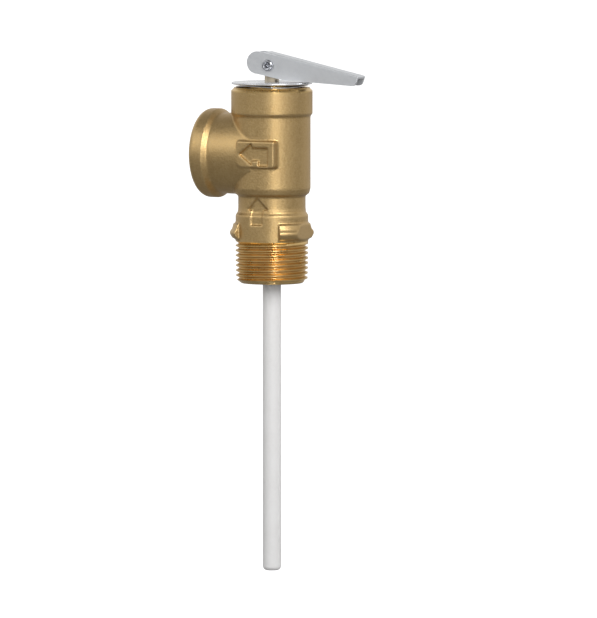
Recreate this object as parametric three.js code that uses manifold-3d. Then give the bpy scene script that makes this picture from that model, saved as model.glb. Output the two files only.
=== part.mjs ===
// Temperature and pressure relief valve: a cast brass angle body with a 3/4 NPT male inlet
// and a 3/4 NPT female outlet, a spring loaded disc, a test lever, and a wax filled probe.
// Millimetres. The origin is the centre of the inlet end face, +Z runs up the body's axis,
// the outlet points along -X and the test lever along +X.
import * as THREE from "three";
import { mergeVertices } from "three/addons/utils/BufferGeometryUtils.js";
import Module from "manifold-3d";

const wasm = await Module();
wasm.setup();

const fullTurn = 2 * Math.PI;
const halfTurn = Math.PI;
const quarterTurn = Math.PI / 2;

// Fits
const gap = 0.3; // clearance between pieces that touch
const overrun = 1; // how far a cutting tool runs past the face that it opens
const roundSides = 36; // facets round the large turned pieces
const smallSides = 24; // facets round the small ones
const arcSteps = 14; // facets along the arcs of flat pieces

// Pipe thread, 14 threads to the inch, on a 1 in 16 taper
const pitch = 25.4 / 14;
const threadDepth = 1.2;
const thread = { length: 15.4, crestLow: 13.0, crestHigh: 13.3, pointLow: 11.2, chamfer: 1.3 };

// Cast body, outside
const band = { radius: 13.2, top: 24.7 };
const neck = { radius: 12.2, bottom: 26.8, top: 31.9 };
const chest = { radius: 14.1, bottom: 35, top: 61 };
const chestFlare = { radius: 13.6, height: 33.4 };
const crown = { radius: 14.8, bottom: 62.3, top: 70.4, rimRadius: 13.9, rimTop: 71.4 };
const lug = { reach: 15.1, flat: 13.5, spread: 53, low: 15.5, high: 22.2, shoulder: 14.8, from: 17.3, to: 20.1 };
const outlet = {
  height: 47.1, radius: 14.75, beadRadius: 16.2, beadStart: 21.4, coneLength: 2.5, face: 26.3, edge: 2,
};
const pad = { face: 15, back: 12, left: -7, right: 7.95, low: 42.8, high: 52.35, corner: 0.9, cut: 2.4 };
const flowArrow = {
  middle: 47.6, tip: -5.4, barb: -0.5, barbHalf: 3.9, shaftHalf: 1.7,
  turnLeft: 1.8, turnRight: 5.2, tail: 43.3, depth: 0.7,
};
const upArrow = { tip: 31.6, barb: 26.9, barbHalf: 4.4, stemHalf: 2.35, tail: 21.6, depth: 0.5 };

// Cast body, inside
const inletBore = 9.6;
const ringGroove = { radius: 10.4, low: 18.3, high: 19.9 };
const nozzle = { ledge: 23, bore: 6.5, lipRadius: 8, lipTop: 34 };
const chamber = { floor: 32.6, radius: 11, top: 60.6 };
const bonnetSeat = { radius: 12.6, top: 67.3, lipRadius: 11.2 };
const tapping = { bore: 12.1, depth: 14.8, port: 10.2, mouth: 12.7 };

// Bonnet, plates and spring
const bonnet = { flangeLow: 61.9, flangeHigh: 67, radius: 12.3, spigot: 6.3, spigotLow: 58.5 };
const boss = { radius: 8, top: 72.3 };
const plate = { radius: 14.75, low: 72.6, thickness: 0.8 };
const wave = { inner: 8.6, outer: 13.2, middle: 71.95, swing: 0.14, thickness: 0.3, count: 3 };
const spring = {
  radius: 8, wire: 1, turns: 5.5, low: 41.3, high: 61.6, closing: 0.4, stepsPerTurn: 14, wireSides: 6,
};

// Stem and disc
const stem = { radius: 2.5, low: 40.7, flatsFrom: 70.2, tangDepth: 4.4, tangWidth: 2.9, crown: 2.3 };
const holder = { radius: 10, skirtLow: 35, roof: 36.6, flange: 41, boss: 4.5, bossTop: 45, skirtInner: 9 };
const disc = { low: 34.3, high: 36.3, radius: 8.7 };
const washer = { low: 33, high: 34, radius: 5.4 };
const screw = {
  headLow: 31.2, headHigh: 32.7, headRadius: 2.9, shank: 1.5, top: 39.1, slot: 0.8, slotDepth: 0.7,
};

// Test lever and its hollow rivet
const pin = { height: 79.55, radius: 1.4, headRadius: 2, headThickness: 0.8, bore: 0.75, boreDepth: 2.2 };
const lever = {
  width: 6.6, wall: 1.2, heelX: -4.5, heelZ: 80.45, heelRadius: 4.1, webStart: -1.4, webTop: 84.5,
  bendX: 3.3, bendZ: 83.5, noseX: 36.4, noseTop: 76.25, noseLowX: 34.9, noseLow: 72.6, noseRadius: 0.6,
  kneeX: 7.5, kneeZ: 74, underX: 17, underZ: 73.65,
};

// Thermostat
const carrier = { low: 19.9, high: 22.7, radius: 9.3, hub: 5.2, rim: 7.8, armWidth: 2.4, arms: 3 };
const ring = { low: 18.6, high: 19.6, inner: 8.4, outer: 10, mouth: 0.5 };
const head = { low: 15, flangeLow: 23, top: 24.5, radius: 3.6, flange: 5, guide: 1.2 };
const tube = { low: -104.1, high: 20.6, radius: 2.65, inner: 2.15, floor: 0.5 };
const sheath = { low: -105.3, high: 14.7, radius: 3.35, inner: 2.95, floor: 0.9, tip: 1.2 };
const wax = { low: -103.3, high: 3, radius: 1.85 };
const seal = { low: 3.3, high: 7.3 };
const rod = { low: 7.6, footTop: 9.6, footRadius: 1.75, radius: 0.9, high: 29.9, tip: 0.5 };
const returnSpring = {
  radius: 1.42, wire: 0.22, turns: 8, low: 9.9, high: 20.3, closing: 0.4, stepsPerTurn: 10, wireSides: 5,
};

const finishes = {
  castBrass: [0xa1855a, 0.45, 0.9],
  machinedBrass: [0xb08a4a, 0.25, 1],
  platedSteel: [0xb4b8bc, 0.35, 0.8],
  tinnedPlate: [0xd8dadc, 0.3, 0.6],
  springSteel: [0x8c9094, 0.3, 1],
  silicone: [0x9c3a2c, 0.7, 0],
  fibre: [0x3c4038, 0.85, 0],
  whiteCoating: [0xe3e2df, 0.4, 0],
  copper: [0xb87343, 0.35, 1],
  waxFill: [0xd9c48c, 0.6, 0],
  rubber: [0x1c1c1c, 0.8, 0],
};

function makeMaterial(finish) {
  const [color, roughness, metalness] = finishes[finish];
  return new THREE.MeshStandardMaterial({ color, roughness, metalness });
}

function addPiece(group, name, geometry, finish) {
  const mesh = new THREE.Mesh(geometry, makeMaterial(finish));
  mesh.name = name;
  group.add(mesh);
  return mesh;
}

// Solids from geometries and back, for the pieces that are joined or cut
function solidOf(geometry) {
  const plain = geometry.clone();
  plain.deleteAttribute("normal");
  plain.deleteAttribute("uv");
  const merged = mergeVertices(plain, 1e-4);
  const corners = merged.index.array;
  const kept = [];
  for (let i = 0; i < corners.length; i += 3) {
    const [a, b, c] = [corners[i], corners[i + 1], corners[i + 2]];
    if (a !== b && b !== c && c !== a) kept.push(a, b, c);
  }
  const vertProperties = new Float32Array(merged.attributes.position.array);
  const triVerts = new Uint32Array(kept);
  return new wasm.Manifold(new wasm.Mesh({ numProp: 3, vertProperties, triVerts }));
}

function geometryOf(solid) {
  const mesh = solid.getMesh();
  const geometry = new THREE.BufferGeometry();
  geometry.setAttribute("position", new THREE.BufferAttribute(mesh.vertProperties, mesh.numProp));
  geometry.setIndex(new THREE.BufferAttribute(mesh.triVerts, 1));
  geometry.computeVertexNormals();
  return geometry;
}

// A turned piece about Z, from its outline as [radius, height] pairs, run anticlockwise
function turned(outline, sides = roundSides) {
  const points = outline.map(([radius, height]) => new THREE.Vector2(radius, height));
  return new THREE.LatheGeometry(points, sides).rotateX(quarterTurn);
}

// A ring, whose outline closes on itself
function turnedRing(inner, outer, low, high, sides = roundSides) {
  const outline = [[inner, low], [outer, low], [outer, high], [inner, high], [inner, low]];
  return turned(outline, sides);
}

function turnedDisc(radius, low, high, sides = roundSides) {
  return turned([[0, low], [radius, low], [radius, high], [0, high]], sides);
}

// A flat shape drawn in X and Z, given its thickness along Y about the middle plane
function sidePlate(shape, thickness, middle = 0) {
  const options = { depth: thickness, bevelEnabled: false, curveSegments: arcSteps };
  const geometry = new THREE.ExtrudeGeometry(shape, options);
  return geometry.rotateX(quarterTurn).translate(0, middle + thickness / 2, 0);
}

// A flat shape drawn in X and Y, lying between two heights
function flatPlate(shape, low, high) {
  const options = { depth: high - low, bevelEnabled: false, curveSegments: arcSteps };
  return new THREE.ExtrudeGeometry(shape, options).translate(0, 0, low);
}

function polygon(points) {
  return new THREE.Shape(points.map(([x, y]) => new THREE.Vector2(x, y)));
}

// Body
function threadOutline() {
  const points = [[0, 0], [thread.pointLow, 0]];
  const crestAt = (z) => THREE.MathUtils.mapLinear(z, 0, thread.length, thread.crestLow, thread.crestHigh);
  const turns = Math.floor((thread.length - thread.chamfer) / pitch);
  for (let turn = 0; turn < turns; turn += 1) {
    const crest = thread.chamfer + turn * pitch;
    points.push([crestAt(crest), crest]);
    points.push([crestAt(crest) - threadDepth, crest + pitch / 2]);
  }
  const runout = thread.chamfer + turns * pitch;
  points.push([crestAt(runout), runout]);
  return points;
}

function bodyOutline() {
  return [
    ...threadOutline(),
    [band.radius, thread.length],
    [band.radius, band.top],
    [neck.radius, neck.bottom],
    [neck.radius, neck.top],
    [chestFlare.radius, chestFlare.height],
    [chest.radius, chest.bottom],
    [chest.radius, chest.top],
    [crown.radius, crown.bottom],
    [crown.radius, crown.top],
    [crown.rimRadius, crown.rimTop],
    [0, crown.rimTop],
  ];
}

function outletOutline() {
  const full = outlet.face - outlet.edge;
  const diagonal = outlet.edge * (1 - Math.SQRT1_2);
  return [
    [0, 0],
    [outlet.radius, 0],
    [outlet.radius, outlet.beadStart - outlet.coneLength],
    [outlet.beadRadius, outlet.beadStart],
    [outlet.beadRadius, full],
    [outlet.beadRadius - diagonal, outlet.face - diagonal],
    [outlet.beadRadius - outlet.edge, outlet.face],
    [0, outlet.face],
  ];
}

function insideOutline() {
  return [
    [0, -overrun],
    [inletBore, -overrun],
    [inletBore, ringGroove.low],
    [ringGroove.radius, ringGroove.low],
    [ringGroove.radius, ringGroove.high],
    [inletBore, ringGroove.high],
    [inletBore, nozzle.ledge],
    [nozzle.bore, nozzle.ledge],
    [nozzle.bore, nozzle.lipTop],
    [nozzle.lipRadius, nozzle.lipTop],
    [nozzle.lipRadius, chamber.floor],
    [chamber.radius, chamber.floor],
    [chamber.radius, chamber.top],
    [bonnetSeat.radius, chamber.top],
    [bonnetSeat.radius, bonnetSeat.top],
    [bonnetSeat.lipRadius, bonnetSeat.top],
    [bonnetSeat.lipRadius, crown.rimTop + overrun],
    [0, crown.rimTop + overrun],
  ];
}

function tappingOutline() {
  const flare = tapping.mouth - tapping.bore;
  return [
    [0, 0],
    [tapping.port, 0],
    [tapping.port, outlet.face - tapping.depth],
    [tapping.bore, outlet.face - tapping.depth],
    [tapping.bore, outlet.face - flare],
    [tapping.mouth, outlet.face],
    [tapping.mouth, outlet.face + overrun],
    [0, outlet.face + overrun],
  ];
}

function towardsOutlet(geometry) {
  return geometry.rotateY(-quarterTurn).translate(0, 0, outlet.height);
}

// A wrench lug on each side: a turned rib, kept to a sector and cut by a flat
function lugSolid(side) {
  const rib = turned([
    [0, lug.low],
    [band.radius, lug.low],
    [lug.shoulder, lug.from],
    [lug.reach, (lug.from + lug.to) / 2],
    [lug.shoulder, lug.to],
    [band.radius, lug.high],
    [0, lug.high],
  ]);
  const edge = lug.flat * Math.tan(THREE.MathUtils.degToRad(lug.spread));
  const sector = polygon([[0, 0], [lug.flat, -edge], [lug.flat, edge]]);
  const fan = flatPlate(sector, lug.low - overrun, lug.high + overrun).rotateZ(side * 2 * quarterTurn);
  return solidOf(rib).intersect(solidOf(fan));
}

function padSolid() {
  const { left, right, low, high, corner, cut } = pad;
  const shape = polygon([
    [left + cut, low],
    [right - corner, low],
    [right, low + corner],
    [right, high - corner],
    [right - corner, high],
    [left + corner, high],
    [left, high - corner],
    [left, low + cut],
  ]);
  return solidOf(sidePlate(shape, pad.face - pad.back, -(pad.face + pad.back) / 2));
}

// The pad's arrow points to the outlet, and its tail turns down towards the inlet
function flowArrowShape() {
  const { middle, tip, barb, barbHalf, shaftHalf, turnLeft, turnRight, tail } = flowArrow;
  return polygon([
    [tip, middle],
    [barb, middle - barbHalf],
    [barb, middle - shaftHalf],
    [turnLeft, middle - shaftHalf],
    [turnLeft, tail],
    [turnRight, tail],
    [turnRight, middle + shaftHalf],
    [barb, middle + shaftHalf],
    [barb, middle + barbHalf],
  ]);
}

function upArrowShape() {
  const { tip, barb, barbHalf, stemHalf, tail } = upArrow;
  return polygon([
    [-stemHalf, tail],
    [stemHalf, tail],
    [stemHalf, barb],
    [barbHalf, barb],
    [0, tip],
    [-barbHalf, barb],
    [-stemHalf, barb],
  ]);
}

function padRecess() {
  const { depth } = flowArrow;
  return solidOf(sidePlate(flowArrowShape(), depth + overrun, -pad.face + (depth - overrun) / 2));
}

// The neck's arrow keeps an even depth below the turned surface
function neckRecess() {
  const below = upArrow.depth;
  const core = turned([
    [0, thread.length],
    [band.radius - below, thread.length],
    [band.radius - below, band.top],
    [neck.radius - below, neck.bottom],
    [neck.radius - below, chest.bottom],
    [0, chest.bottom],
  ]);
  const block = sidePlate(upArrowShape(), band.radius, -band.radius / 2 - overrun);
  return solidOf(block).subtract(solidOf(core));
}

function makeBody() {
  let solid = solidOf(turned(bodyOutline()));
  solid = solid.add(solidOf(towardsOutlet(turned(outletOutline()))));
  solid = solid.add(padSolid());
  for (const side of [0, 1]) {
    solid = solid.add(lugSolid(side));
  }
  solid = solid.subtract(solidOf(turned(insideOutline())));
  solid = solid.subtract(solidOf(towardsOutlet(turned(tappingOutline()))));
  return geometryOf(solid.subtract(padRecess()).subtract(neckRecess()));
}

// Bonnet, gasket, washer, plate and spring
function makeBonnet() {
  const hole = stem.radius + gap;
  return turned([
    [hole, bonnet.spigotLow],
    [bonnet.spigot, bonnet.spigotLow],
    [bonnet.spigot, bonnet.flangeLow],
    [bonnet.radius, bonnet.flangeLow],
    [bonnet.radius, bonnet.flangeHigh],
    [boss.radius, bonnet.flangeHigh],
    [boss.radius, boss.top],
    [hole, boss.top],
    [hole, bonnet.spigotLow],
  ]);
}

function makeGasket() {
  return turnedRing(chamber.radius + gap, bonnet.radius, chamber.top + gap, bonnet.flangeLow - gap);
}

function makeWaveWasher() {
  const half = wave.thickness / 2;
  const geometry = turnedRing(wave.inner, wave.outer, wave.middle - half, wave.middle + half);
  const position = geometry.attributes.position;
  for (let i = 0; i < position.count; i += 1) {
    const angle = Math.atan2(position.getY(i), position.getX(i));
    position.setZ(i, position.getZ(i) + wave.swing * Math.cos(wave.count * angle));
  }
  geometry.computeVertexNormals();
  return geometry;
}

function makeTopPlate() {
  return turnedRing(stem.radius + gap, plate.radius, plate.low, plate.low + plate.thickness);
}

class CoilPath extends THREE.Curve {
  constructor(coil) {
    super();
    this.coil = coil;
  }

  // The rise slows near both ends, where the coils close up
  getPoint(t) {
    const { radius, wire, turns, low, high, closing } = this.coil;
    const angle = t * turns * fullTurn;
    const share = t - (closing * Math.sin(fullTurn * t)) / fullTurn;
    const height = low + wire + share * (high - low - 2 * wire);
    return new THREE.Vector3(radius * Math.cos(angle), radius * Math.sin(angle), height);
  }
}

function makeCoil(coil) {
  const section = [];
  for (let side = 0; side < coil.wireSides; side += 1) {
    const angle = (side * fullTurn) / coil.wireSides;
    section.push([coil.wire * Math.cos(angle), coil.wire * Math.sin(angle)]);
  }
  const steps = Math.round(coil.turns * coil.stepsPerTurn);
  return new THREE.ExtrudeGeometry(polygon(section), { steps, extrudePath: new CoilPath(coil) });
}

// Stem and disc
// The round stem loses all of its upper end that lies outside the flat tang
function makeStem() {
  const half = stem.tangDepth / 2;
  const side = new THREE.Shape();
  side.moveTo(-half, stem.flatsFrom - overrun);
  side.lineTo(half, stem.flatsFrom - overrun);
  side.lineTo(half, pin.height);
  side.absellipse(0, pin.height, half, stem.crown, 0, halfTurn, false);
  const top = pin.height + stem.crown + overrun;
  const around = new THREE.BoxGeometry(4 * half, 4 * half, top - stem.flatsFrom + overrun);
  around.translate(0, 0, (top + stem.flatsFrom + overrun) / 2);
  const waste = solidOf(around).subtract(solidOf(sidePlate(side, stem.tangWidth)));
  const blank = solidOf(turnedDisc(stem.radius, stem.low, top, smallSides));
  return geometryOf(blank.subtract(waste).subtract(pinHole()));
}

function pinHole() {
  const length = lever.width + 2 * overrun;
  const hole = turnedDisc(pin.radius + gap, -length / 2, length / 2, smallSides);
  return solidOf(hole.rotateX(quarterTurn).translate(0, 0, pin.height));
}

function makeHolder() {
  const [screwHole, stemHole] = [screw.shank + gap, stem.radius + gap];
  return turned([
    [0, screw.top + gap],
    [screwHole, screw.top + gap],
    [screwHole, holder.roof],
    [holder.skirtInner, holder.roof],
    [holder.skirtInner, holder.skirtLow],
    [holder.radius, holder.skirtLow],
    [holder.radius, holder.flange],
    [holder.boss, holder.flange],
    [holder.boss, holder.bossTop],
    [stemHole, holder.bossTop],
    [stemHole, stem.low - gap],
    [0, stem.low - gap],
  ]);
}

function makeSeatDisc() {
  return turnedRing(screw.shank + gap, disc.radius, disc.low, disc.high);
}

function makeDiscWasher() {
  return turnedRing(screw.shank + gap, washer.radius, washer.low, washer.high);
}

function makeScrew() {
  const { headLow, headHigh, headRadius, shank, top, slot, slotDepth } = screw;
  const outline = [
    [0, headLow],
    [headRadius, headLow],
    [headRadius, headHigh],
    [shank, headHigh],
    [shank, top],
    [0, top],
  ];
  const cutter = new THREE.BoxGeometry(2 * (headRadius + overrun), slot, 2 * slotDepth);
  const cut = solidOf(cutter.translate(0, 0, headLow));
  return geometryOf(solidOf(turned(outline, smallSides)).subtract(cut));
}

// Test lever: two cheeks under a web, with round free ears behind the pin
function leverSide() {
  const { heelX, heelZ, heelRadius, webStart, webTop, bendX, bendZ } = lever;
  const { noseX, noseTop, noseLowX, noseLow, noseRadius, kneeX, kneeZ, underX, underZ } = lever;
  const shape = new THREE.Shape();
  shape.moveTo(kneeX, kneeZ);
  shape.lineTo(underX, underZ);
  shape.lineTo(noseLowX - noseRadius, noseLow);
  shape.lineTo(noseLowX, noseLow + noseRadius);
  shape.lineTo(noseX, noseTop - noseRadius);
  shape.lineTo(noseX - noseRadius, noseTop);
  shape.lineTo(bendX, bendZ);
  shape.lineTo(webStart, webTop);
  shape.lineTo(heelX, heelZ + heelRadius);
  shape.absarc(heelX, heelZ, heelRadius, quarterTurn, 3 * quarterTurn, false);
  return shape;
}

function leverChannel() {
  const { wall, webStart, webTop, bendX, bendZ, noseX, noseTop, noseLowX, heelX, heelRadius } = lever;
  const [left, below, above] = [heelX - heelRadius - overrun, lever.noseLow - overrun, webTop + overrun];
  return polygon([
    [left, below],
    [noseLowX - wall, below],
    [noseX - wall, noseTop - wall],
    [bendX, bendZ - wall],
    [webStart, webTop - wall],
    [webStart, above],
    [left, above],
  ]);
}

function makeLever() {
  const blank = solidOf(sidePlate(leverSide(), lever.width));
  const channel = solidOf(sidePlate(leverChannel(), lever.width - 2 * lever.wall));
  return geometryOf(blank.subtract(channel).subtract(pinHole()));
}

function makeLeverPin() {
  const reach = lever.width / 2 + gap;
  const outer = reach + pin.headThickness;
  const geometry = turned([
    [0, -outer],
    [pin.headRadius, -outer],
    [pin.headRadius, -reach],
    [pin.radius, -reach],
    [pin.radius, reach],
    [pin.headRadius, reach],
    [pin.headRadius, outer],
    [pin.bore, outer],
    [pin.bore, outer - pin.boreDepth],
    [0, outer - pin.boreDepth],
  ], smallSides);
  return geometry.rotateX(quarterTurn).translate(0, 0, pin.height);
}

// Thermostat
function carrierWindow(middle) {
  const half = halfTurn / carrier.arms;
  const [outerHalf, innerHalf] = [carrier.rim, carrier.hub].map((r) => half - carrier.armWidth / 2 / r);
  const window = new THREE.Path();
  window.absarc(0, 0, carrier.rim, middle - outerHalf, middle + outerHalf, false);
  window.absarc(0, 0, carrier.hub, middle + innerHalf, middle - innerHalf, true);
  return window;
}

function makeCarrier() {
  const shape = new THREE.Shape().absarc(0, 0, carrier.radius, 0, fullTurn, false);
  shape.holes.push(new THREE.Path().absarc(0, 0, head.radius + gap, 0, fullTurn, false));
  for (let arm = 0; arm < carrier.arms; arm += 1) {
    shape.holes.push(carrierWindow(((arm + 0.5) * fullTurn) / carrier.arms));
  }
  return flatPlate(shape, carrier.low, carrier.high);
}

function makeRetainingRing() {
  const [start, end] = [ring.mouth / 2, fullTurn - ring.mouth / 2];
  const shape = new THREE.Shape();
  shape.absarc(0, 0, ring.outer, start, end, false);
  shape.absarc(0, 0, ring.inner, end, start, true);
  return flatPlate(shape, ring.low, ring.high);
}

function makeElementHead() {
  return turned([
    [sheath.inner, head.low],
    [head.radius, head.low],
    [head.radius, head.flangeLow],
    [head.flange, head.flangeLow],
    [head.flange, head.top],
    [head.guide, head.top],
    [head.guide, tube.high + gap],
    [sheath.inner, tube.high + gap],
    [sheath.inner, head.low],
  ], smallSides);
}

function makeBlindTube(piece) {
  const tip = piece.tip ?? piece.floor;
  return turned([
    [0, piece.low],
    [piece.radius - tip, piece.low],
    [piece.radius - tip * (1 - Math.SQRT1_2), piece.low + tip * (1 - Math.SQRT1_2)],
    [piece.radius, piece.low + tip],
    [piece.radius, piece.high],
    [piece.inner, piece.high],
    [piece.inner, piece.low + piece.floor],
    [0, piece.low + piece.floor],
  ], smallSides);
}

function makeThrustRod() {
  return turned([
    [0, rod.low],
    [rod.footRadius, rod.low],
    [rod.footRadius, rod.footTop],
    [rod.radius, rod.footTop],
    [rod.radius, rod.high - rod.tip],
    [rod.radius - rod.tip, rod.high],
    [0, rod.high],
  ], smallSides);
}

const valve = new THREE.Group();
addPiece(valve, "body", makeBody(), "castBrass");
addPiece(valve, "bonnet", makeBonnet(), "machinedBrass");
addPiece(valve, "bonnet_gasket", makeGasket(), "fibre");
addPiece(valve, "wave_washer", makeWaveWasher(), "springSteel");
addPiece(valve, "top_plate", makeTopPlate(), "tinnedPlate");
addPiece(valve, "main_spring", makeCoil(spring), "springSteel");

const liftStack = new THREE.Group();
valve.add(liftStack);
addPiece(liftStack, "stem", makeStem(), "machinedBrass");
addPiece(liftStack, "disc_holder", makeHolder(), "machinedBrass");
addPiece(liftStack, "seat_disc", makeSeatDisc(), "silicone");
addPiece(liftStack, "disc_washer", makeDiscWasher(), "platedSteel");
addPiece(liftStack, "disc_screw", makeScrew(), "machinedBrass");

const testLever = new THREE.Group();
liftStack.add(testLever);
addPiece(testLever, "lever", makeLever(), "platedSteel");
addPiece(testLever, "lever_pin", makeLeverPin(), "platedSteel");

const thermostat = new THREE.Group();
valve.add(thermostat);
addPiece(thermostat, "element_carrier", makeCarrier(), "machinedBrass");
addPiece(thermostat, "retaining_ring", makeRetainingRing(), "springSteel");
addPiece(thermostat, "element_head", makeElementHead(), "machinedBrass");
addPiece(thermostat, "probe_sheath", makeBlindTube(sheath), "whiteCoating");
addPiece(thermostat, "probe_tube", makeBlindTube(tube), "copper");
addPiece(thermostat, "wax_charge", turnedDisc(wax.radius, wax.low, wax.high, smallSides), "waxFill");
addPiece(thermostat, "rod_seal", turnedDisc(wax.radius, seal.low, seal.high, smallSides), "rubber");
addPiece(thermostat, "rod_return_spring", makeCoil(returnSpring), "springSteel");
addPiece(thermostat, "thrust_rod", makeThrustRod(), "machinedBrass");

export default valve;
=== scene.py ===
import math
import bmesh
import bpy
import numpy as np
from mathutils import Matrix, Vector


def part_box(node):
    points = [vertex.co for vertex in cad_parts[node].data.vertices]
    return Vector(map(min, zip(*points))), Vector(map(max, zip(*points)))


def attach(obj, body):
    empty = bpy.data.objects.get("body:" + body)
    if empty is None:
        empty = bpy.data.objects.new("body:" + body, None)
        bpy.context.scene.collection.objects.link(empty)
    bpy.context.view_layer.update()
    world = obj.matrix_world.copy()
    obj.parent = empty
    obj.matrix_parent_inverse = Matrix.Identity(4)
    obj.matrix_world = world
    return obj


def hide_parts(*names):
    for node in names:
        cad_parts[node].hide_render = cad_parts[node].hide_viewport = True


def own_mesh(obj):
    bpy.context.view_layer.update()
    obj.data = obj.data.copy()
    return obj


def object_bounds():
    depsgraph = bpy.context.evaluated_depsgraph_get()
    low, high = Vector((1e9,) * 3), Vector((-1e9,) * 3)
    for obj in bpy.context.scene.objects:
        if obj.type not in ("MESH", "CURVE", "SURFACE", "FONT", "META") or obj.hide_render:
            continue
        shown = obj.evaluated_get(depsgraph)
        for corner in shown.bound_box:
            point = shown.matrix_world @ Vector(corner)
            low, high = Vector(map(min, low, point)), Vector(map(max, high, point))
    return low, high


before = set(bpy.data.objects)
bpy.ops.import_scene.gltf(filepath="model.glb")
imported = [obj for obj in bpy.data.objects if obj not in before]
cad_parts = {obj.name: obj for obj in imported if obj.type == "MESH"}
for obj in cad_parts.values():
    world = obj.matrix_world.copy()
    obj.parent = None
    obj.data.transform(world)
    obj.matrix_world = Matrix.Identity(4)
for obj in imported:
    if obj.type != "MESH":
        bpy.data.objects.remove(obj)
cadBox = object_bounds()
print("frame loaded")

# Meshes are drawn in millimetres, in the frame's own axes, and brought to metres when they are placed
mm = 0.001
fullTurn = 2 * math.pi
sheet = bpy.context.scene.collection


def corners(node):
    low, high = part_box(node)
    return low / mm, high / mm


# Shapes
def softened(points, closed=False, steps=5):
    # an outline of (a, b) or (a, b, radius) corners, its corners turned into arcs
    result = []
    count = len(points)
    for index, point in enumerate(points):
        here = Vector(point[:2])
        radius = point[2] if len(point) > 2 else 0
        isEnd = not closed and index in (0, count - 1)
        if radius == 0 or isEnd:
            result.append(here)
            continue
        before = Vector(points[index - 1][:2]) - here
        after = Vector(points[(index + 1) % count][:2]) - here
        half = before.angle(after) / 2
        reach = min(radius / math.tan(half), 0.49 * before.length, 0.49 * after.length)
        radius = reach * math.tan(half)
        centre = here + (before.normalized() + after.normalized()).normalized() * (radius / math.sin(half))
        start = here + before.normalized() * reach - centre
        swing = start.angle_signed(here + after.normalized() * reach - centre)
        for step in range(steps + 1):
            turn = Matrix.Rotation(-swing * step / steps, 2)
            result.append(centre + turn @ start)
    return result


def arcPoints(centre, radius, start, end, steps):
    # points along an arc, angles in degrees
    angles = [math.radians(start + (end - start) * step / steps) for step in range(steps + 1)]
    return [(centre[0] + radius * math.cos(a), centre[1] + radius * math.sin(a)) for a in angles]


def newPiece(name, bm):
    bmesh.ops.remove_doubles(bm, verts=bm.verts, dist=1e-4)
    bmesh.ops.recalc_face_normals(bm, faces=bm.faces)
    mesh = bpy.data.meshes.new(name)
    bm.to_mesh(mesh)
    bm.free()
    piece = bpy.data.objects.new(name, mesh)
    sheet.objects.link(piece)
    return piece


def bridgeRows(bm, rows, closeRows=False):
    # skins a list of vertex rows of equal length
    count = len(rows)
    for index in range(count if closeRows else count - 1):
        row, following = rows[index], rows[(index + 1) % count]
        for a, b, c, d in zip(row, row[1:], following[1:], following):
            bm.faces.new((a, b, c, d))


def turned(name, outline, sides=96, sweep=360, closed=False):
    # a piece turned about Z from (radius, height) points; closed outlines make rings
    bm = bmesh.new()
    whole = sweep == 360
    points = list(outline) + ([outline[0]] if closed else [])
    count = sides if whole else sides + 1
    rows = []
    for index in range(count):
        angle = math.radians(sweep) * index / sides
        rows.append([bm.verts.new((p[0] * math.cos(angle), p[0] * math.sin(angle), p[1])) for p in points])
    bridgeRows(bm, rows, closeRows=whole)
    if not whole:
        for row in (rows[0], rows[-1]):
            bm.faces.new(row[:-1] if closed else row)
    return newPiece(name, bm)


def plate(name, outline, low, high, plane="XZ"):
    # a flat outline given a thickness, across Y for plane XZ and up Z for plane XY
    bm = bmesh.new()
    if plane == "XZ":
        rings = [[bm.verts.new((p[0], depth, p[1])) for p in outline] for depth in (low, high)]
    else:
        rings = [[bm.verts.new((p[0], p[1], height)) for p in outline] for height in (low, high)]
    bm.faces.new(rings[0])
    bm.faces.new(rings[1])
    bridgeRows(bm, [ring + ring[:1] for ring in rings])
    return newPiece(name, bm)


def turnPiece(piece, axis, degrees, shift=(0, 0, 0)):
    piece.data.transform(Matrix.Translation(shift) @ Matrix.Rotation(math.radians(degrees), 4, axis))
    return piece


def settle(piece):
    # replaces the mesh by what its modifiers make of it
    graph = bpy.context.evaluated_depsgraph_get()
    mesh = bpy.data.meshes.new_from_object(piece.evaluated_get(graph))
    piece.modifiers.clear()
    piece.data = mesh
    return piece


def combine(piece, tool, operation="DIFFERENCE"):
    change = piece.modifiers.new(operation.lower(), "BOOLEAN")
    change.operation = operation
    change.solver = "MANIFOLD"
    change.object = tool
    settle(piece)
    bpy.data.objects.remove(tool)
    return piece


def place(piece, node, body, material, crease=35):
    # puts a finished piece in its node's stead; without a material it keeps its own
    piece.data.transform(Matrix.Scale(mm, 4))
    piece.data.shade_smooth()
    piece.data.set_sharp_from_angle(angle=math.radians(crease))
    if material:
        piece.data.materials.clear()
        piece.data.materials.append(material)
    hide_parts(node)
    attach(piece, body)
    return piece


# Shared effects for materials
def newGroup(name, inputs, outputs):
    group = bpy.data.node_groups.new(name, "ShaderNodeTree")
    for label, value in inputs.items():
        socket = group.interface.new_socket(label, in_out="INPUT", socket_type="NodeSocketFloat")
        socket.default_value = value
    for label, kind in outputs.items():
        group.interface.new_socket(label, in_out="OUTPUT", socket_type=kind)
    return group, group.nodes.new("NodeGroupInput"), group.nodes.new("NodeGroupOutput")


def mathNode(tree, operation, first, second=None):
    node = tree.nodes.new("ShaderNodeMath")
    node.operation = operation
    for socket, value in zip(node.inputs, (first, second)):
        if value is None:
            continue
        if isinstance(value, (int, float)):
            socket.default_value = value
        else:
            tree.links.new(value, socket)
    return node.outputs[0]


def noiseNode(tree, vector, scale, detail=3, roughness=0.5):
    node = tree.nodes.new("ShaderNodeTexNoise")
    node.inputs["Detail"].default_value = detail
    node.inputs["Roughness"].default_value = roughness
    tree.links.new(vector, node.inputs["Vector"])
    if isinstance(scale, (int, float)):
        node.inputs["Scale"].default_value = scale
    else:
        tree.links.new(scale, node.inputs["Scale"])
    return node.outputs["Fac"]


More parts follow.
